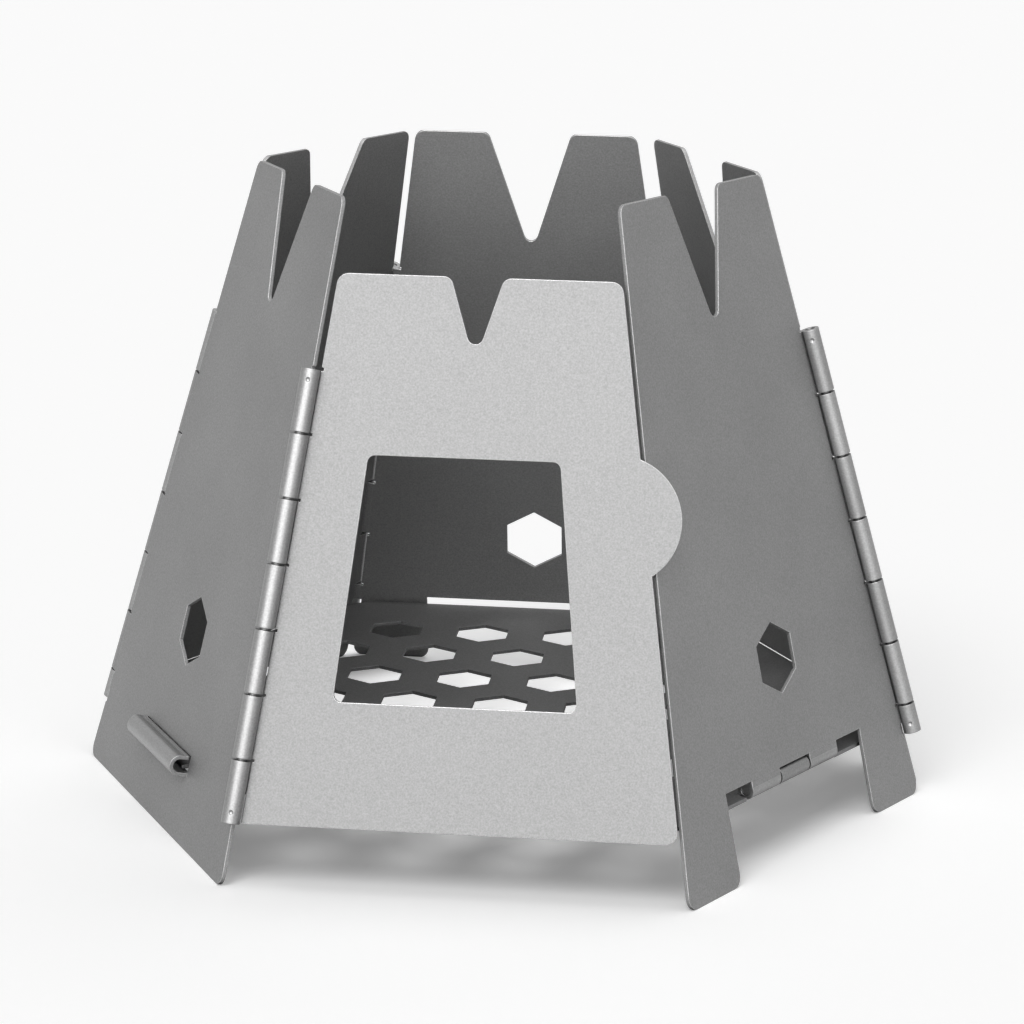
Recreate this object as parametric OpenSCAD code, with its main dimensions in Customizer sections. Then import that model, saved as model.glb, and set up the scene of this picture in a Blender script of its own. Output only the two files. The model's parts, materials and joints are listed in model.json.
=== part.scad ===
// Folding hexagonal wood stove of thin sheet metal: five walls, a door and a perforated floor.
// The origin is on the ground at the centre of the base, +Z is up and the door faces -Y.
// Walls are drawn flat, with X along the wall, Y up its slope and Z out of its outer face.

/* [Overall] */
// Height from the ground to the pot rests
overall_h = 102; // [92:1:112]
// Distance across the flats of the base, outside the sheet
base_across = 122; // [114:1:132]
// Distance across the flats of the mouth, outside the sheet
mouth_across = 71; // [66:1:78]

/* [Sheet] */
// Thickness of the sheet metal
sheet_t = 0.6; // [0.5:0.05:0.7]
// Radius of the corners at the mouth
tooth_r = 1.8; // [1:0.1:2.4]
// Radius of the outer corners of the feet
foot_r = 1.8; // [1:0.1:3]

/* [Wall cut-outs] */
// Width of the flame notch at the mouth
notch_w = 14.2; // [12:0.1:16]
// Depth of the flame notch to where its sides would meet
notch_depth = 22.8; // [20:0.1:24]
// Radius at the root of the notches
notch_root_r = 1.2; // [0.8:0.1:1.5]
// Distance across the flats of the hexagonal air holes
air_hole_across = 9.9; // [7:0.1:10.5]
// Height of the air hole in the front walls, along the slope
front_hole_h = 31; // [27:0.5:36]
// Height of the air hole in the rear walls, along the slope
rear_hole_h = 26; // [24:0.5:36]
// Width of the gap between the feet
leg_gap_w = 40; // [36:0.5:42]
// Height of the gap between the feet under the floor hinge, along the slope
front_gap_h = 14.4; // [14:0.1:15]
// Height of the gap between the feet of the rear wall, along the slope
rear_gap_h = 13; // [12.8:0.1:14]
// Height of the gap between the feet of the two rear side walls, along the slope
side_gap_h = 11.6; // [11:0.1:14]

/* [Hinges] */
// Diameter of the hinge wire
pin_d = 1.6; // [1.2:0.05:1.7]
// Radial clearance of the wire in a knuckle
pin_clear = 0.05; // [0.03:0.01:0.08]
// Distance from the ground to the lowest knuckle, along the slope
hinge_foot = 10.1; // [9:0.1:11]
// Distance from the mouth to the highest knuckle, along the slope
hinge_head_gap = 25.7; // [24:0.1:28]
// Length of the short lowest knuckle of a wall hinge
short_knuckle = 5.3; // [4:0.1:8]
// Gap between neighbouring knuckles
knuckle_gap = 0.4; // [0.2:0.05:0.5]

/* [Door] */
// Distance from the mouth down to the door's top edge, along the slope
door_head_gap = 11.3; // [9:0.1:14]
// Depth of the door's notch to where its sides would meet
door_notch_depth = 12.9; // [10:0.1:14]
// Height of the window's lower edge, along the slope
window_foot = 29.2; // [27:0.1:32]
// Height of the window, along the slope
window_h = 37.4; // [32:0.1:40]
// Width of the window at its lower edge
window_foot_w = 37; // [32:0.1:39]
// Width of the window at its upper edge
window_head_w = 29; // [25:0.1:30]
// Height of the latch tab's centre, along the slope
latch_h = 58.2; // [54:0.1:62]
// Radius of the latch tab
latch_r = 9.9; // [9:0.1:10.5]
// How far the latch tab stands past the door's edge
latch_reach = 5.3; // [4:0.1:6]

/* [Floor] */
// Distance across the flats of the floor's hexagonal holes
floor_hole_across = 9; // [7:0.1:10]
// Distance between the centres of the floor's holes
grid_pitch = 15.4; // [14:0.1:17]
// Rings of holes round the middle one
grid_rings = 3; // [1:1:3]
// Length of one knuckle of the floor hinge
floor_knuckle = 8.5; // [7:0.1:9]
// Width of the locking tongue
tongue_w = 19.5; // [10:0.5:19.5]
// How far the tongue passes the inner face of its wall
tongue_reach = 1.3; // [1:0.1:1.6]
// Length of the pocket that the tongue enters
pocket_w = 22; // [21:0.5:25]
// How far the pocket stands out of its wall
pocket_out = 3.2; // [3:0.1:4]

/* [Hidden] */
$fn = 48;

// Places round the base, counted clockwise from the door as seen from above
DOOR = 0;
FRONT_LEFT = 1;
REAR_LEFT = 2;
REAR = 3;
REAR_RIGHT = 4;
FRONT_RIGHT = 5;
sides = 6;
turn = 360 / sides;

// Side of a wall that a hinge barrel stands on, or an edge that only latches
BARREL_OUT = 1;
BARREL_IN = -1;
LATCH = 0;

over = 1;
skin = 0.02;
arc_steps = 5;

// The walls lean in from the base to the mouth
lean = atan((base_across - mouth_across) / 2 / overall_h);
wall_len = overall_h / cos(lean);
wall_mid = base_across / 2 - sheet_t / 2 / cos(lean);
taper = atan(sin(lean) * tan(turn / 2));
edge_trim = sheet_t / 2 * tan(lean);

// Rolled knuckles: the sheet wraps round the wire
pin_r = pin_d / 2;
bore_r = pin_r + pin_clear;
barrel_r = bore_r + sheet_t;
axis_off = barrel_r - sheet_t / 2;
edge_clear = 0.28;
edge_gap = sqrt(barrel_r * barrel_r - bore_r * bore_r) + edge_clear;
latch_setback = 0.65;
knuckles = 7;
knuckle_root = 0.5;
relief_w = 0.5;
relief_d = 0.35;
foot_relief = 1.9;
hinge_len = (wall_len - hinge_head_gap - hinge_foot) / cos(taper);
pin_inset = 0.4;
even_knuckle = hinge_len / knuckles;
stake_r = 0.45;
stake_in = 1.9;
stake_turn = 60;
half_turn = 180;
quarter_turn = 90;

notch_slope = notch_w / 2 / notch_depth;
notch_lip_r = 1.5;
leg_r = 2;
air_hole_r = air_hole_across / 2 / cos(turn / 2);
floor_hole_r = floor_hole_across / 2 / cos(turn / 2);

// Door
door_head = wall_len - door_head_gap;
door_foot = hinge_foot;
door_corner_r = 1.8;
door_hinge_corner_r = 0.3;
window_r = 1.2;
window_shift = 1;
door_edge_setback = 0.1;

// The floor hinge hangs from the front right wall, one edge gap below the gap between its feet
floor_axis_h = front_gap_h - edge_gap;
floor_axis_z = floor_axis_h * cos(lean) - axis_off * sin(lean);
floor_axis_y = wall_mid - floor_axis_h * sin(lean) - axis_off * cos(lean);
floor_z = floor_axis_z - axis_off - sheet_t / 2;
floor_room = wall_mid - sheet_t / 2 / cos(lean) - (floor_z + sheet_t) * tan(lean);
floor_clear = 0.6;
floor_front_clear = 1.5;
floor_lip = 0.6;
floor_corner_r = 1;
corner_cut = 3;
barrel_corner_cut = 5;
door_corner_cut = 13;

// Pocket pressed out of the front left wall round the tongue
pocket_gap = 0.35;
slit = 0.3;
tongue_drop = (tongue_reach - sheet_t) * sin(lean);
pocket_foot = (floor_z - pocket_gap - tongue_drop) / cos(lean);
pocket_room = 2.2;

function unit(p) = p / norm(p);
function at_corner(list, i) = list[(i + len(list)) % len(list)];
function flat(p) = [p[0], p[1]];
function wrap(a) = a > 180 ? a - 360 : (a < -180 ? a + 360 : a);

// Points of an arc of radius r tangent to both sides of the corner b between a and c
function corner_arc(a, b, c, r) =
    let (
        to_a = unit(a - b),
        to_c = unit(c - b),
        half = acos(to_a * to_c) / 2,
        mid = b + unit(to_a + to_c) * r / sin(half),
        start = b + to_a * r / tan(half) - mid,
        end = b + to_c * r / tan(half) - mid,
        first = atan2(start[1], start[0]),
        sweep = wrap(atan2(end[1], end[0]) - first))
    [for (i = [0:arc_steps]) mid + r * [cos(first + sweep * i / arc_steps), sin(first + sweep * i / arc_steps)]];

// Outline from corners given as [x, y, radius]
function rounded(corners) = [for (i = [0:len(corners) - 1])
    each corners[i][2] == 0 ? [flat(corners[i])]
        : corner_arc(flat(at_corner(corners, i - 1)), flat(corners[i]), flat(at_corner(corners, i + 1)),
            corners[i][2])];

// Half widths of a wall at height v up its slope
function corner_u(v) = (wall_mid - v * sin(lean)) * tan(turn / 2);
function axis_u(v, kind) = corner_u(v) + kind * axis_off * cos(lean) * tan(turn / 2);
function edge_u(v, kind) =
    kind == LATCH ? corner_u(v) - latch_setback : axis_u(v, kind) - edge_gap / cos(taper);
function door_edge_u(v) = corner_u(v) - door_edge_setback;

// Ends of a knuckle along its hinge, counted from the foot, where the first one is short long
function knuckle_lo(i, short) = i == 0 ? 0 : short + (i - 1) * (hinge_len - short) / (knuckles - 1);
function knuckle_hi(i, short) = knuckle_lo(i + 1, short);

// Flame notch in an edge at height hi, with its virtual tip depth below it
function notch_points(hi, depth) = [
    [depth * notch_slope, hi, notch_lip_r],
    [0, hi - depth, notch_root_r],
    [-depth * notch_slope, hi, notch_lip_r]];

// Gap between two feet that stand on an edge at height lo, up to height top
function leg_points(lo, top) = [
    [-leg_gap_w / 2, lo, leg_r],
    [-leg_gap_w / 2, top, 0],
    [leg_gap_w / 2, top, 0],
    [leg_gap_w / 2, lo, leg_r]];

// Outline of a wall. A gap_h of zero leaves its foot straight.
function wall_points(right, left, gap_h) =
    let (lo = -edge_trim, hi = wall_len + edge_trim)
    concat(
        [[edge_u(lo, right), lo, foot_r], [edge_u(hi, right), hi, tooth_r]],
        notch_points(hi, notch_depth + edge_trim),
        [[-edge_u(hi, left), hi, tooth_r], [-edge_u(lo, left), lo, foot_r]],
        gap_h > 0 ? leg_points(lo, gap_h) : []);

// Stands a flat wall up in its place round the base
module stand(place) {
    rotate([0, 0, -turn * place])
        translate([0, -wall_mid, 0])
            rotate([quarter_turn - lean, 0, 0])
                children();
}

// Level cut of the feet at the ground and of the teeth at the pot rests
module level() {
    intersection() {
        children();
        translate([-base_across, -base_across, 0])
            cube([2 * base_across, 2 * base_across, overall_h]);
    }
}

module hexagon(r) {
    rotate([0, 0, turn / 2])
        circle(r = r, $fn = sides);
}

module on_edge(right) {
    if (right)
        children();
    else
        mirror([1, 0, 0])
            children();
}

// Frame of a hinge on the right edge: Y up the axis, X away from the wall, Z out of its outer face
module hinge_frame(kind) {
    translate([axis_u(hinge_foot, kind), hinge_foot, kind * axis_off])
        rotate([0, 0, taper])
            children();
}

module along(lo, hi, r) {
    translate([0, lo, 0])
        rotate([-quarter_turn, 0, 0])
            cylinder(r = r, h = hi - lo);
}

// One rolled knuckle and the strip of sheet that runs into it, which starts at height neck
module knuckle(lo, hi, neck, kind) {
    difference() {
        union() {
            along(lo, hi, barrel_r);
            translate([-edge_gap - knuckle_root, neck, -kind * axis_off - sheet_t / 2 + skin])
                cube([edge_gap + knuckle_root, hi - neck, sheet_t - 2 * skin]);
        }
        along(lo - over, hi + over, bore_r);
    }
}

// A short lowest knuckle is free of the sheet over the height of the relief cut beside it
function foot_free(i, short) = i == 0 && short < even_knuckle ? foot_relief : 0;

// Knuckles first, first + 2 and so on of a hinge
module knuckle_row(first, kind, short) {
    hinge_frame(kind)
        for (i = [first:2:knuckles - 1]) {
            lo = knuckle_lo(i, short) + knuckle_gap / 2;
            knuckle(lo, knuckle_hi(i, short) - knuckle_gap / 2, lo + foot_free(i, short), kind);
        }
}

// Dimples that stake the wire in the two end knuckles, side degrees round from the sheet's outer face
module stakes(kind, side) {
    hinge_frame(kind)
        for (y = [stake_in, hinge_len - stake_in])
            translate([0, y, 0])
                rotate([0, side, 0])
                    translate([0, 0, barrel_r + stake_r / 2])
                        sphere(r = stake_r);
}

// Relief cuts in the edge of the sheet between the knuckles
module reliefs(kind, short) {
    translate([axis_u(hinge_foot, kind), hinge_foot])
        rotate([0, 0, taper])
            for (i = [0:knuckles])
                translate([-edge_gap - relief_d, knuckle_lo(i, short) - relief_w / 2])
                    square([relief_d + over, relief_w + foot_free(i, short)]);
}

// Flat sheet of a wall from its outline, less the cut-outs given as children
module sheet(points) {
    translate([0, 0, -sheet_t / 2])
        linear_extrude(sheet_t)
            difference() {
                polygon(rounded(points));
                children();
            }
}

// A wall between two hinges. Its right hinge has kind right and its left one left.
// first_right and first_left say which knuckles are its own, and side_right where the wire is staked.
module wall(right, left, first_right, first_left, short_right, side_right, gap_h, hole_h) {
    difference() {
        union() {
            sheet(wall_points(right, left, gap_h)) {
                translate([0, hole_h])
                    hexagon(air_hole_r);
                if (right != LATCH)
                    reliefs(right, short_right);
                if (left != LATCH)
                    on_edge(false) reliefs(left, short_knuckle);
            }
            if (right != LATCH)
                knuckle_row(first_right, right, short_right);
            if (left != LATCH)
                on_edge(false) knuckle_row(first_left, left, short_knuckle);
        }
        if (right != LATCH && first_right == 0)
            stakes(right, side_right);
        if (left != LATCH && first_left == 0)
            on_edge(false) stakes(left, half_turn);
    }
}

module door_panel() {
    points = concat(
        [[door_edge_u(door_foot), door_foot, door_corner_r], [door_edge_u(door_head), door_head, door_corner_r]],
        notch_points(door_head, door_notch_depth),
        [[-edge_u(door_head, BARREL_OUT), door_head, door_corner_r],
            [-edge_u(door_foot, BARREL_OUT), door_foot, door_hinge_corner_r]]);
    window = [
        [window_foot_w / 2, window_foot, window_r],
        [window_head_w / 2, window_foot + window_h, window_r],
        [-window_head_w / 2, window_foot + window_h, window_r],
        [-window_foot_w / 2, window_foot, window_r]];
    color("gainsboro")
        stand(DOOR)
            union() {
                translate([0, 0, -sheet_t / 2])
                    linear_extrude(sheet_t)
                        difference() {
                            union() {
                                polygon(rounded(points));
                                translate([door_edge_u(latch_h) + latch_reach - latch_r, latch_h])
                                    circle(r = latch_r);
                            }
                            translate([-window_shift, 0])
                                polygon(rounded(window));
                            on_edge(false) reliefs(BARREL_OUT, even_knuckle);
                        }
                on_edge(false) knuckle_row(1, BARREL_OUT, even_knuckle);
            }
}

// Section of the pocket, drawn with X out of the wall and Y up it
module pocket_section() {
    outer = pocket_room / 2 + sheet_t;
    tip = pocket_out + sheet_t / 2 - outer;
    translate([0, pocket_foot + pocket_room / 2])
        difference() {
            union() {
                translate([tip, 0])
                    circle(r = outer);
                translate([0, -outer])
                    square([tip, 2 * outer]);
            }
            translate([tip, 0])
                circle(r = outer - sheet_t);
            translate([-over, -pocket_room / 2])
                square([tip + over, pocket_room]);
            square([sheet_t / 2 + slit, over + pocket_room]);
        }
}

module front_left_panel() {
    color("darkgray")
        level()
            stand(FRONT_LEFT)
                difference() {
                    union() {
                        wall(BARREL_OUT, BARREL_IN, 0, 1, even_knuckle, stake_turn, 0, front_hole_h);
                        translate([pocket_w / 2, 0, 0])
                            rotate([0, -quarter_turn, 0])
                                linear_extrude(pocket_w)
                                    pocket_section();
                    }
                    translate([-pocket_w / 2, pocket_foot, -sheet_t / 2 - over])
                        cube([pocket_w, pocket_room + sheet_t, sheet_t + over + slit]);
                }
}

module rear_left_panel() {
    color("darkgray")
        level()
            stand(REAR_LEFT)
                wall(BARREL_IN, BARREL_OUT, 0, 1, short_knuckle, half_turn, side_gap_h, rear_hole_h);
}

module rear_panel() {
    color("darkgray")
        level()
            stand(REAR)
                wall(BARREL_OUT, BARREL_IN, 0, 0, short_knuckle, -stake_turn, rear_gap_h, rear_hole_h);
}

module rear_right_panel() {
    color("darkgray")
        level()
            stand(REAR_RIGHT)
                wall(BARREL_IN, BARREL_OUT, 1, 1, short_knuckle, half_turn, side_gap_h, rear_hole_h);
}

module across(lo, hi, r) {
    translate([lo, 0, 0])
        rotate([0, quarter_turn, 0])
            cylinder(r = r, h = hi - lo);
}

module front_right_panel() {
    color("darkgray")
        level()
            stand(FRONT_RIGHT)
                difference() {
                    union() {
                        wall(BARREL_OUT, LATCH, 0, 0, short_knuckle, -stake_turn, front_gap_h, front_hole_h);
                        for (s = [-1, 1]) {
                            lo = s * floor_knuckle - (floor_knuckle - knuckle_gap) / 2;
                            translate([0, floor_axis_h, -axis_off])
                                across(lo, lo + floor_knuckle - knuckle_gap, barrel_r);
                            translate([lo, floor_axis_h, -sheet_t / 2 + skin])
                                cube([floor_knuckle - knuckle_gap, edge_gap + knuckle_root,
                                    sheet_t - 2 * skin]);
                        }
                    }
                    translate([0, floor_axis_h, -axis_off])
                        across(-2 * floor_knuckle, 2 * floor_knuckle, bore_r);
                }
}

// Distance of each side of the floor from the middle, in the order of the places
function floor_side(place) =
    place == DOOR ? floor_room - floor_front_clear
        : (place == FRONT_RIGHT ? floor_axis_y + floor_lip : floor_room - floor_clear);

function outward(place) = [-sin(turn * place), -cos(turn * place)];

// Corner between the side at place and the next one
function floor_corner(place) =
    let (near = floor_side(place), far = floor_side((place + 1) % sides), c = cos(turn), s2 = 1 - c * c)
    outward(place) * (near - c * far) / s2 + outward(place + 1) * (far - c * near) / s2;

function corner_cut_at(place) =
    place == DOOR ? door_corner_cut
        : ((place == FRONT_LEFT || place == REAR) ? barrel_corner_cut : corner_cut);

function floor_points() = [for (i = [0:sides - 1])
    let (
        place = sides - 1 - i,
        here = floor_corner(place),
        before = floor_corner((place + 1) % sides),
        after = floor_corner((place + sides - 1) % sides),
        cut = corner_cut_at(place))
    each [
        concat(here + unit(before - here) * cut, [floor_corner_r]),
        concat(here + unit(after - here) * cut, [floor_corner_r])]];

// Hexagonal grid of holes, ring by ring round the middle one
module floor_grid() {
    for (row = [-grid_rings:grid_rings])
        for (i = [0:2 * grid_rings - abs(row)])
            translate([(i - grid_rings + abs(row) / 2) * grid_pitch, row * grid_pitch * cos(turn / 2)])
                hexagon(floor_hole_r);
}

module floor_plate() {
    color("dimgray")
        difference() {
            union() {
                translate([0, 0, floor_z])
                    linear_extrude(sheet_t)
                        difference() {
                            union() {
                                polygon(rounded(floor_points()));
                                rotate([0, 0, -turn * FRONT_LEFT])
                                    translate([-tongue_w / 2, -floor_room - tongue_reach])
                                        square([tongue_w, tongue_reach + floor_clear + over]);
                            }
                            floor_grid();
                            rotate([0, 0, -turn * FRONT_RIGHT])
                                for (s = [-1, 1])
                                    translate([s * floor_knuckle - floor_knuckle / 2 - knuckle_gap,
                                            -floor_axis_y - 2 * barrel_r])
                                        square([floor_knuckle + 2 * knuckle_gap, 2 * barrel_r + edge_gap]);
                            rotate([0, 0, -turn * FRONT_RIGHT])
                                translate([-floor_knuckle / 2, -floor_axis_y - 2 * barrel_r])
                                    square([floor_knuckle, 2 * barrel_r]);
                        }
                rotate([0, 0, -turn * FRONT_RIGHT]) {
                    translate([0, -floor_axis_y, floor_axis_z])
                        across((knuckle_gap - floor_knuckle) / 2, (floor_knuckle - knuckle_gap) / 2, barrel_r);
                    translate([(knuckle_gap - floor_knuckle) / 2, -floor_axis_y, floor_z + skin])
                        cube([floor_knuckle - knuckle_gap, edge_gap + knuckle_root, sheet_t - 2 * skin]);
                }
            }
            rotate([0, 0, -turn * FRONT_RIGHT])
                translate([0, -floor_axis_y, floor_axis_z])
                    across(-floor_knuckle, floor_knuckle, bore_r);
        }
}

// Hinge wire on the right edge of the wall at place
module hinge_pin(place, kind) {
    color("silver")
        stand(place)
            hinge_frame(kind)
                along(pin_inset, hinge_len - pin_inset, pin_r);
}

module floor_hinge_pin() {
    half = 3 * floor_knuckle / 2 - pin_inset;
    color("silver")
        rotate([0, 0, -turn * FRONT_RIGHT])
            translate([0, -floor_axis_y, floor_axis_z])
                across(-half, half, pin_r);
}

door_panel();
front_left_panel();
rear_left_panel();
rear_panel();
rear_right_panel();
front_right_panel();
floor_plate();
hinge_pin(FRONT_LEFT, BARREL_OUT);  // door_hinge_pin
hinge_pin(REAR_LEFT, BARREL_IN);  // front_left_hinge_pin
hinge_pin(REAR, BARREL_OUT);  // rear_left_hinge_pin
hinge_pin(REAR_RIGHT, BARREL_IN);  // rear_right_hinge_pin
hinge_pin(FRONT_RIGHT, BARREL_OUT);  // front_right_hinge_pin
floor_hinge_pin();
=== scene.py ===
"""Studio picture of a folding hexagonal wood stove of bead-blasted sheet metal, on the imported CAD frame.
Lengths are in metres. Z is up and the door faces -Y."""

import json
import math

import bpy
from mathutils import Matrix, Vector

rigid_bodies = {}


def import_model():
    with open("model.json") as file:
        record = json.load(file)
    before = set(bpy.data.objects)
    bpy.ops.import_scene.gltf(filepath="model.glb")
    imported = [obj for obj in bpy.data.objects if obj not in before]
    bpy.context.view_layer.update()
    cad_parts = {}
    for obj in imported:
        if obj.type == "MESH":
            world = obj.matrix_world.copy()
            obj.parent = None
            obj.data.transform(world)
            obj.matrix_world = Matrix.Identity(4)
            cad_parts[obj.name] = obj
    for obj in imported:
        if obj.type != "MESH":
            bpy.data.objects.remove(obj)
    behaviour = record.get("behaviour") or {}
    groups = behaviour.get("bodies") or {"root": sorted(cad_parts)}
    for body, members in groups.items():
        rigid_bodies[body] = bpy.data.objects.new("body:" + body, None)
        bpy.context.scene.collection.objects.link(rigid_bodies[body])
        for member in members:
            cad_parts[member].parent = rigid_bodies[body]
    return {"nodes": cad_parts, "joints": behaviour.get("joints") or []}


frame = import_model()
bpy.context.scene.view_settings.view_transform = "Standard"
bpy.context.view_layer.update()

# Camera: the photograph's viewpoint, fitted to the corners of the six walls. Angles are in radians.
MM_PER_METRE = 1000
SENSOR = 0.036
LENS = 0.1181
CAMERA_PLACE = (0.0579, -0.5302, 0.1868)
CAMERA_YAW = -0.1058
CAMERA_DOWN = 0.2604
CAMERA_ROLL = 0.0139

# Lamps: (name, azimuth, elevation and breadth in degrees, strength). Azimuth 0 is in front of the door.
LAMPS = (
    ("key", -24, 56, 35, 1.15),
    ("top", 150, 70, 50, 0.7),
)

# The world: its light, the backdrop that the camera sees and the studio that the metal reflects
AMBIENT = 0.3
BACKDROP_LEVEL = 0.965
STUDIO_LEVEL = 0.67

# The big softbox in front of the door, for reflections alone. It is full up to its core and ends at its
# edge. Angles are in degrees.
SOFTBOX_AZIMUTH = -1
SOFTBOX_ELEVATION = 30
SOFTBOX_CORE = 8
SOFTBOX_EDGE = 51
SOFTBOX_LEVEL = 3.2

# The pale floor
WHITE = (1, 1, 1, 1)
FLOOR_SIZE = 6.0
FLOOR_COLOUR = (0.93, 0.93, 0.93, 1)
FLOOR_GLOW = 0.2

# A soft pool of light on the ground under the back of the grille: middle, full and outer radius, strength.
# It is there only where something within reach covers the ground, by the open shares that start and end it.
POOL_PLACE = (-0.008, 0.026, 0)
POOL_FULL = 0.026
POOL_EDGE = 0.036
POOL_LEVEL = 0.5
POOL_REACH = 0.03
POOL_OPEN = 0.85
POOL_COVERED = 0.6

# Rolled knuckles: reach from the hinge's axis, a little more than their radius, their shine, partly lower
# roughness and partly a painted highlight, and how far they go on past the end of the wire
BARREL_REACH = 0.001475
BARREL_GLOSS_AND_HIGHLIGHT = 1.0
WIRE_INSET = 0.0004

# The roll of the pocket in the front left wall: azimuth in degrees, place, half length, reach and shine,
# partly lower roughness and partly a painted highlight
POCKET_AZIMUTH = -60
POCKET_OUT = 0.0596
POCKET_HEIGHT = 0.0118
POCKET_HALF_LENGTH = 0.011
POCKET_REACH = 0.00175
POCKET_GLOSS_AND_HIGHLIGHT = 1.7
QUARTER_TURN = 90

# Tones and roughness of the metal
WALL_BASE = 0.3
# The rear walls' lighter tone is painted light, lifting the shade on their insides
REAR_PAINTED_LIGHT_BASE = 0.33
FLOOR_BASE = 0.25
WALL_ROUGH = 0.64
# The barrels' lift of tone is a painted highlight
BARREL_HIGHLIGHT_LIFT = 1.22
BARREL_ROUGH = 0.45
EDGE_ROUGH = 0.4
WIRE_BASE = 0.4
WIRE_ROUGH = 0.42

# Edges, partly worn and partly a painted highlight: their lighter tone starts where a small bevel turns the
# surface to this cosine
EDGE_SAMPLES = 6
WEAR_AND_HIGHLIGHT_START = 0.995

# Tone of an edge, partly wear and partly a painted highlight, radius of its bevel, and cosine of the
# bevel's turn at which that tone is full
EDGE = (0.6, 0.00016, 0.8)
DOOR_EDGE = (0.58, 0.0002, 0.95)
FLOOR_EDGE = (0.3, 0.00016, 0.8)

# Painted crevice shade: reach, open share at which it is darkest and at which it clears, and its tone
CREVICE_REACH = 0.0012
FLOOR_CREVICE_REACH = 0.004
CREVICE_SAMPLES = 8
CREVICE_SHUT = 0.25
CREVICE_OPEN = 0.66
CREVICE_SHADE_TONE = 0.22

# Blasted grain and cloudy patches: scale per metre, detail and range. The grain also stands in relief.
GRAIN_SCALE = 3700.0
GRAIN_DETAIL = 2.0
GRAIN_SHARE = 0.14
GRAIN_STRENGTH = 0.25
GRAIN_HEIGHT = 0.00005
CLOUD_SCALE = 45.0
CLOUD_DETAIL = 4.0
CLOUD_DARK = 0.95
CLOUD_PALE = 1.04
NOISE_ROUGHNESS = 0.6
NOISE_LOW = 0.3
NOISE_HIGH = 0.7


def make_camera():
    """Camera from its place and its yaw, tilt and roll."""
    data = bpy.data.cameras.new("camera")
    data.sensor_width = SENSOR * MM_PER_METRE
    data.lens = LENS * MM_PER_METRE
    cam = bpy.data.objects.new("camera", data)
    bpy.context.scene.collection.objects.link(cam)
    forward = Vector((
        math.sin(CAMERA_YAW) * math.cos(CAMERA_DOWN),
        math.cos(CAMERA_YAW) * math.cos(CAMERA_DOWN),
        -math.sin(CAMERA_DOWN),
    ))
    right = Vector((math.cos(CAMERA_YAW), -math.sin(CAMERA_YAW), 0))
    up = right.cross(forward)
    rolled_right = right * math.cos(CAMERA_ROLL) + up * math.sin(CAMERA_ROLL)
    rolled_up = up * math.cos(CAMERA_ROLL) - right * math.sin(CAMERA_ROLL)
    turn = Matrix((rolled_right, rolled_up, -forward)).transposed().to_4x4()
    cam.matrix_world = Matrix.Translation(CAMERA_PLACE) @ turn
    bpy.context.scene.camera = cam


def direction(azimuth, elevation):
    """Unit vector towards a place round the object, in degrees."""
    az, el = math.radians(azimuth), math.radians(elevation)
    return Vector((math.sin(az) * math.cos(el), -math.cos(az) * math.cos(el), math.sin(el)))


def make_lamp(name, azimuth, elevation, breadth, strength):
    """A softbox so far off that it lights object and floor evenly."""
    data = bpy.data.lights.new(name, "SUN")
    data.angle = math.radians(breadth)
    data.energy = strength
    lamp = bpy.data.objects.new(name, data)
    bpy.context.scene.collection.objects.link(lamp)
    lamp.rotation_euler = direction(azimuth, elevation).to_track_quat("Z", "Y").to_euler()


class Nodes:
    """Short calls for building a node tree."""

    def __init__(self, tree):
        self.tree = tree
        tree.nodes.clear()

    def add(self, kind, **values):
        node = self.tree.nodes.new(kind)
        for key, value in values.items():
            if key in node.inputs:
                node.inputs[key].default_value = value
            else:
                setattr(node, key, value)
        return node

    def link(self, start, end):
        self.tree.links.new(start, end)


def seen(nodes):
    """1 where the camera looks at the shader, also through glass, and 0 for the light that it gives."""
    path = nodes.add("ShaderNodeLightPath")
    through = nodes.add("ShaderNodeMath", operation="MAXIMUM")
    nodes.link(path.outputs["Is Camera Ray"], through.inputs[0])
    nodes.link(path.outputs["Is Transmission Ray"], through.inputs[1])
    return through.outputs[0]


def softbox_level(nodes):
    """Strength of the softbox by direction, for reflections only."""
    place = nodes.add("ShaderNodeTexCoord")
    toward = nodes.add("ShaderNodeVectorMath", operation="DOT_PRODUCT")
    toward.inputs[1].default_value = direction(SOFTBOX_AZIMUTH, SOFTBOX_ELEVATION)
    nodes.link(place.outputs["Generated"], toward.inputs[0])
    fade = nodes.add("ShaderNodeMapRange", interpolation_type="SMOOTHSTEP")
    fade.inputs["From Min"].default_value = math.cos(math.radians(SOFTBOX_EDGE))
    fade.inputs["From Max"].default_value = math.cos(math.radians(SOFTBOX_CORE))
    fade.inputs["To Max"].default_value = SOFTBOX_LEVEL
    nodes.link(toward.outputs["Value"], fade.inputs["Value"])
    studio = nodes.add("ShaderNodeMath", operation="ADD")
    studio.inputs[1].default_value = STUDIO_LEVEL - AMBIENT
    nodes.link(fade.outputs[0], studio.inputs[0])
    path = nodes.add("ShaderNodeLightPath")
    level = nodes.add("ShaderNodeMath", operation="MULTIPLY")
    nodes.link(studio.outputs[0], level.inputs[0])
    nodes.link(path.outputs["Is Glossy Ray"], level.inputs[1])
    return level.outputs[0]


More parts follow.
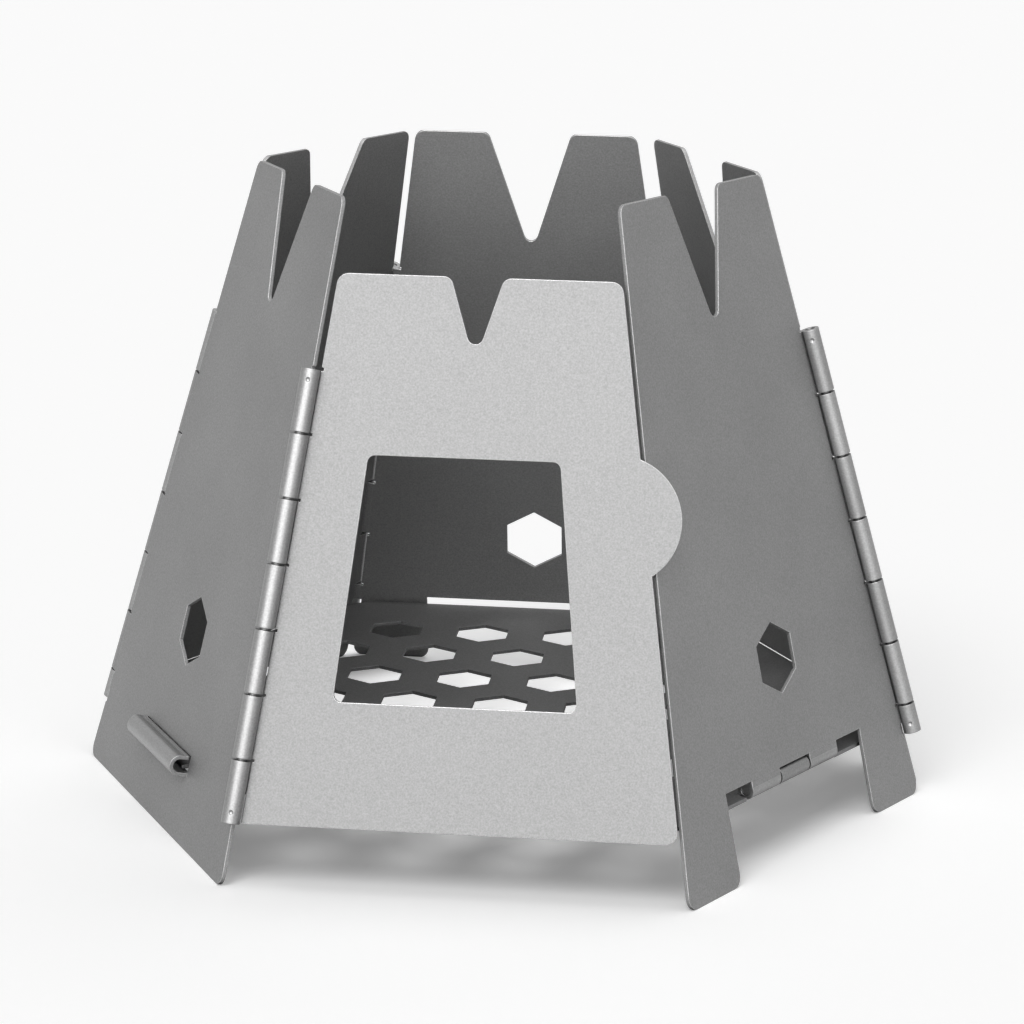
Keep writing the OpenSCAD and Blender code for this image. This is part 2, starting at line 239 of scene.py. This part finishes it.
def make_world():
    """White to the camera, a dim studio to the object and a softbox to its reflections."""
    world = bpy.data.worlds.new("studio")
    world.use_nodes = True
    bpy.context.scene.world = world
    nodes = Nodes(world.node_tree)
    ambient = nodes.add("ShaderNodeBackground", Color=WHITE, Strength=AMBIENT)
    white = nodes.add("ShaderNodeBackground", Color=WHITE, Strength=BACKDROP_LEVEL)
    mix = nodes.add("ShaderNodeMixShader")
    nodes.link(seen(nodes), mix.inputs[0])
    nodes.link(ambient.outputs[0], mix.inputs[1])
    nodes.link(white.outputs[0], mix.inputs[2])
    softbox = nodes.add("ShaderNodeBackground", Color=WHITE)
    nodes.link(softbox_level(nodes), softbox.inputs["Strength"])
    both = nodes.add("ShaderNodeAddShader")
    nodes.link(mix.outputs[0], both.inputs[0])
    nodes.link(softbox.outputs[0], both.inputs[1])
    out = nodes.add("ShaderNodeOutputWorld")
    nodes.link(both.outputs[0], out.inputs["Surface"])


def pool_level(nodes):
    """Glow of the floor, with the pool of light where the ground is covered."""
    place = nodes.add("ShaderNodeTexCoord")
    away = nodes.add("ShaderNodeVectorMath", operation="DISTANCE")
    away.inputs[1].default_value = POOL_PLACE
    nodes.link(place.outputs["Object"], away.inputs[0])
    fade = nodes.add("ShaderNodeMapRange", interpolation_type="SMOOTHSTEP")
    fade.inputs["From Min"].default_value = POOL_EDGE
    fade.inputs["From Max"].default_value = POOL_FULL
    fade.inputs["To Max"].default_value = POOL_LEVEL
    nodes.link(away.outputs["Value"], fade.inputs["Value"])
    sky = nodes.add("ShaderNodeAmbientOcclusion", Distance=POOL_REACH)
    covered = nodes.add("ShaderNodeMapRange")
    covered.inputs["From Min"].default_value = POOL_OPEN
    covered.inputs["From Max"].default_value = POOL_COVERED
    nodes.link(sky.outputs["AO"], covered.inputs["Value"])
    glow = nodes.add("ShaderNodeMath", operation="ADD")
    glow.inputs[1].default_value = FLOOR_GLOW
    nodes.link(product(nodes, fade.outputs[0], covered.outputs[0]), glow.inputs[0])
    return glow.outputs[0]


def make_floor():
    """Pale floor that keeps the object's shadow and glows a little to the camera."""
    bpy.ops.mesh.primitive_plane_add(size=FLOOR_SIZE, location=(0, 0, 0))
    floor = bpy.context.object
    floor.name = "studio_floor"
    material = bpy.data.materials.new("studio_floor")
    material.use_nodes = True
    nodes = Nodes(material.node_tree)
    paper = nodes.add("ShaderNodeBsdfDiffuse", Color=FLOOR_COLOUR)
    glow = nodes.add("ShaderNodeEmission", Color=WHITE)
    share = nodes.add("ShaderNodeMath", operation="MULTIPLY")
    nodes.link(seen(nodes), share.inputs[0])
    nodes.link(pool_level(nodes), share.inputs[1])
    nodes.link(share.outputs[0], glow.inputs["Strength"])
    both = nodes.add("ShaderNodeAddShader")
    nodes.link(paper.outputs[0], both.inputs[0])
    nodes.link(glow.outputs[0], both.inputs[1])
    out = nodes.add("ShaderNodeOutputMaterial")
    nodes.link(both.outputs[0], out.inputs["Surface"])
    floor.data.materials.append(material)


def edge_wear_and_highlight(nodes, radius, full):
    """Edge wear and painted highlight: 1 on cut edges and 0 on the flat faces, from how far a small bevel
    would turn the surface.
    """
    bevel = nodes.add("ShaderNodeBevel", Radius=radius)
    bevel.samples = EDGE_SAMPLES
    surface = nodes.add("ShaderNodeNewGeometry")
    turned = nodes.add("ShaderNodeVectorMath", operation="DOT_PRODUCT")
    nodes.link(bevel.outputs[0], turned.inputs[0])
    nodes.link(surface.outputs["Normal"], turned.inputs[1])
    wear_and_highlight = nodes.add("ShaderNodeMapRange", interpolation_type="SMOOTHSTEP")
    wear_and_highlight.inputs["From Min"].default_value = WEAR_AND_HIGHLIGHT_START
    wear_and_highlight.inputs["From Max"].default_value = full
    nodes.link(turned.outputs["Value"], wear_and_highlight.inputs["Value"])
    return bevel.outputs[0], wear_and_highlight.outputs[0]


def rolls_on(body):
    """Rolled parts of a body's sheet, each as its middle, direction, half length, reach and shine, the shine
    partly lower roughness and partly a painted highlight.
    """
    rolls = []
    for hinge in frame["joints"]:
        if body in (hinge["parent"], hinge["child"]):
            middle, axis = Vector(hinge["pos_m"]), Vector(hinge["axis"])
            wire = frame["nodes"][hinge["name"] + "_pin"].data.vertices
            half_length = max((v.co - middle).dot(axis) for v in wire) + WIRE_INSET
            rolls.append((middle, axis, half_length, BARREL_REACH, BARREL_GLOSS_AND_HIGHLIGHT))
    if body == "front_left_wall":
        middle = direction(POCKET_AZIMUTH, 0) * POCKET_OUT + Vector((0, 0, POCKET_HEIGHT))
        along = direction(POCKET_AZIMUTH + QUARTER_TURN, 0)
        rolls.append((middle, along, POCKET_HALF_LENGTH, POCKET_REACH, POCKET_GLOSS_AND_HIGHLIGHT))
    return rolls


def in_roll(nodes, place, middle, axis, half_length, reach, gloss_and_highlight):
    """The roll's shine, partly lower roughness and partly a painted highlight, within reach of its axis, and
    0 elsewhere.
    """
    offset = nodes.add("ShaderNodeVectorMath", operation="SUBTRACT")
    offset.inputs[1].default_value = middle
    nodes.link(place, offset.inputs[0])
    across = nodes.add("ShaderNodeVectorMath", operation="CROSS_PRODUCT")
    along = nodes.add("ShaderNodeVectorMath", operation="DOT_PRODUCT")
    for part in (across, along):
        part.inputs[1].default_value = axis
        nodes.link(offset.outputs[0], part.inputs[0])
    distance = nodes.add("ShaderNodeVectorMath", operation="LENGTH")
    nodes.link(across.outputs[0], distance.inputs[0])
    close = nodes.add("ShaderNodeMath", operation="LESS_THAN")
    close.inputs[1].default_value = reach
    nodes.link(distance.outputs["Value"], close.inputs[0])
    height = nodes.add("ShaderNodeMath", operation="ABSOLUTE")
    nodes.link(along.outputs["Value"], height.inputs[0])
    within = nodes.add("ShaderNodeMath", operation="LESS_THAN")
    within.inputs[1].default_value = half_length
    nodes.link(height.outputs[0], within.inputs[0])
    gloss_and_highlight_share = nodes.add("ShaderNodeMath", operation="MULTIPLY")
    gloss_and_highlight_share.inputs[1].default_value = gloss_and_highlight
    nodes.link(product(nodes, close.outputs[0], within.outputs[0]), gloss_and_highlight_share.inputs[0])
    return gloss_and_highlight_share.outputs[0]


def painted_crevice_shade(nodes, reach):
    """Painted shade: dark in narrow gaps and under rolled edges, and 1 in the open."""
    shut_in = nodes.add("ShaderNodeAmbientOcclusion", Distance=reach)
    shut_in.samples = CREVICE_SAMPLES
    tone = nodes.add("ShaderNodeMapRange", interpolation_type="SMOOTHSTEP")
    tone.inputs["From Min"].default_value = CREVICE_SHUT
    tone.inputs["From Max"].default_value = CREVICE_OPEN
    tone.inputs["To Min"].default_value = CREVICE_SHADE_TONE
    nodes.link(shut_in.outputs["AO"], tone.inputs["Value"])
    return tone.outputs[0]


def blend(nodes, share, start, end, clamp=False):
    """start where share is 0 and end where it is 1. Both are numbers or sockets."""
    mix = nodes.add("ShaderNodeMapRange", clamp=clamp)
    for value, name in ((start, "To Min"), (end, "To Max")):
        if isinstance(value, float):
            mix.inputs[name].default_value = value
        else:
            nodes.link(value, mix.inputs[name])
    nodes.link(share, mix.inputs["Value"])
    return mix.outputs[0]


def noise(nodes, place, scale, detail, low, high):
    """Noise between low and high."""
    grain = nodes.add("ShaderNodeTexNoise", Scale=scale, Detail=detail, Roughness=NOISE_ROUGHNESS)
    nodes.link(place, grain.inputs["Vector"])
    tone = nodes.add("ShaderNodeMapRange")
    tone.inputs["From Min"].default_value = NOISE_LOW
    tone.inputs["From Max"].default_value = NOISE_HIGH
    tone.inputs["To Min"].default_value = low
    tone.inputs["To Max"].default_value = high
    nodes.link(grain.outputs["Fac"], tone.inputs["Value"])
    return tone.outputs[0]


def product(nodes, *factors):
    """All factors multiplied."""
    total = factors[0]
    for factor in factors[1:]:
        times = nodes.add("ShaderNodeMath", operation="MULTIPLY")
        nodes.link(total, times.inputs[0])
        nodes.link(factor, times.inputs[1])
        total = times.outputs[0]
    return total


def blasted_metal(name, base, rough, rolls=(), edge=EDGE, reach=CREVICE_REACH):
    """Bead-blasted sheet: a fine matt speckle, soft cloudy patches, bright edges that are partly worn and
    partly a painted highlight, shinier barrels with a painted highlight, and painted shade in crevices.
    """
    material = bpy.data.materials.new(name)
    material.use_nodes = True
    nodes = Nodes(material.node_tree)
    place = nodes.add("ShaderNodeTexCoord").outputs["Object"]
    speckle = noise(nodes, place, GRAIN_SCALE, GRAIN_DETAIL, 1 - GRAIN_SHARE, 1 + GRAIN_SHARE)
    cloud = noise(nodes, place, CLOUD_SCALE, CLOUD_DETAIL, CLOUD_DARK, CLOUD_PALE)
    edge_base, radius, full = edge
    bevel, wear_and_highlight = edge_wear_and_highlight(nodes, radius, full)
    barrel = nodes.add("ShaderNodeValue").outputs[0]
    barrel.default_value = 0.0
    for roll in rolls:
        either = nodes.add("ShaderNodeMath", operation="MAXIMUM")
        nodes.link(barrel, either.inputs[0])
        nodes.link(in_roll(nodes, place, *roll), either.inputs[1])
        barrel = either.outputs[0]
    # Edge tone, partly wear and partly a painted highlight, is kept off the barrels
    wear_and_highlight = product(nodes, wear_and_highlight, blend(nodes, barrel, 1.0, 0.0, clamp=True))
    # Barrels and the pocket's roll get a painted highlight: their tone is lifted above the sheet's
    level = blend(nodes, wear_and_highlight, blend(nodes, barrel, base, base * BARREL_HIGHLIGHT_LIFT), edge_base)
    colour = nodes.add("ShaderNodeCombineColor")
    # The colour also carries painted shade in crevices
    tone = product(nodes, level, speckle, cloud, painted_crevice_shade(nodes, reach))
    for channel in ("Red", "Green", "Blue"):
        nodes.link(tone, colour.inputs[channel])
    gloss = product(nodes, blend(nodes, wear_and_highlight, blend(nodes, barrel, rough, BARREL_ROUGH), EDGE_ROUGH), cloud)
    bump = nodes.add("ShaderNodeBump", Strength=GRAIN_STRENGTH, Distance=GRAIN_HEIGHT)
    nodes.link(speckle, bump.inputs["Height"])
    nodes.link(bevel, bump.inputs["Normal"])
    shader = nodes.add("ShaderNodeBsdfPrincipled", Metallic=1.0)
    nodes.link(colour.outputs[0], shader.inputs["Base Color"])
    nodes.link(gloss, shader.inputs["Roughness"])
    nodes.link(bump.outputs[0], shader.inputs["Normal"])
    out = nodes.add("ShaderNodeOutputMaterial")
    nodes.link(shader.outputs[0], out.inputs["Surface"])
    return material


make_camera()
make_world()
make_floor()
for lamp in LAMPS:
    make_lamp(*lamp)

wire_metal = blasted_metal("wire_metal", WIRE_BASE, WIRE_ROUGH)
for name, node in frame["nodes"].items():
    body = node.parent.name.split(":")[-1]
    if "pin" in name:
        metal = wire_metal
    elif name == "floor_plate":
        metal = blasted_metal("floor_metal", FLOOR_BASE, WALL_ROUGH, rolls_on(body),
            FLOOR_EDGE, FLOOR_CREVICE_REACH)
    else:
        # Rear walls take a lighter tone as painted light for the shade inside them
        base = REAR_PAINTED_LIGHT_BASE if name.startswith("rear") else WALL_BASE
        edge = DOOR_EDGE if name == "door_panel" else EDGE
        metal = blasted_metal(name + "_metal", base, WALL_ROUGH, rolls_on(body), edge)
    for slot in node.material_slots:
        slot.material = metal
